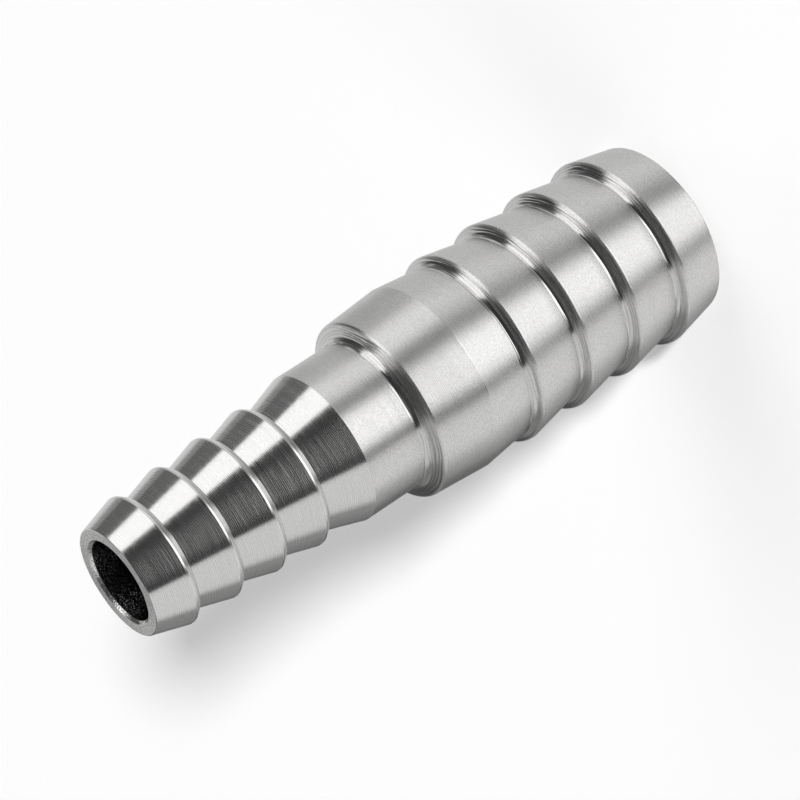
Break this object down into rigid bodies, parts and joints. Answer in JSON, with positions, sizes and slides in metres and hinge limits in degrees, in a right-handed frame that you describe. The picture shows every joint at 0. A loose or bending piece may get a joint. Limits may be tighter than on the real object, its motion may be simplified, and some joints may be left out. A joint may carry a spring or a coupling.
{
  "type": "hose barb reducer",
  "caption": "Turned stainless steel hose barb reducer: a narrow barbed tail, a plain neck, a wider collar and a wide barbed tail, bored through.",
  "frame": {"origin": "centre of the large end face, which the part stands on", "axes": "+Z along the axis, from the large end up to the small end"},
  "size_m": [0.021, 0.021, 0.0686],
  "materials": {
    "turned_steel": "satin, with the narrow tail polished"
  },
  "bodies": {
    "root": {"reducer": "turned_steel"}
  },
  "joints": []
}
